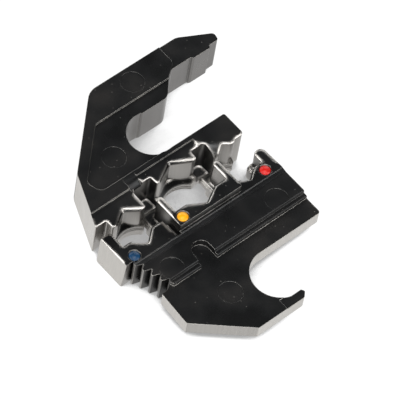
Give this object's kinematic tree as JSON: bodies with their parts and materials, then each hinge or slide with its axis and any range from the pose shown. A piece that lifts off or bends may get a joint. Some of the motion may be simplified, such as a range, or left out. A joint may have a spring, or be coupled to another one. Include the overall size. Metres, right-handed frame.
{
  "type": "crimping die set",
  "caption": "Interlocking hooked steel crimping die halves with three colour-coded nests for insulated terminals, closing along one line.",
  "frame": {"origin": "centre of the upper half's round seat, on the plane on which both halves lie (the upper half's back face)", "axes": "+X along the row of nests from blue to red, +Y the closing direction from the lower half towards the upper half's arm, +Z out of the face that carries the colour dots, along the way a terminal is laid in"},
  "size_m": [0.0414, 0.0503, 0.0077],
  "materials": {
    "upper_steel": "black oxide, satin",
    "lower_steel": "black oxide, satin",
    "blue_enamel": "gloss",
    "yellow_enamel": "gloss",
    "red_enamel": "gloss"
  },
  "bodies": {
    "upper_half": {"upper_die_half": "upper_steel"},
    "lower_half": {"lower_die_half": "lower_steel", "blue_dot": "blue_enamel", "yellow_dot": "yellow_enamel", "red_dot": "red_enamel"}
  },
  "joints": [
    {"name": "closing_slide", "type": "slide", "parent": "upper_half", "child": "lower_half", "axis": [0, 1, 0], "range_m": [-0.008, 0.0015]}
  ]
}
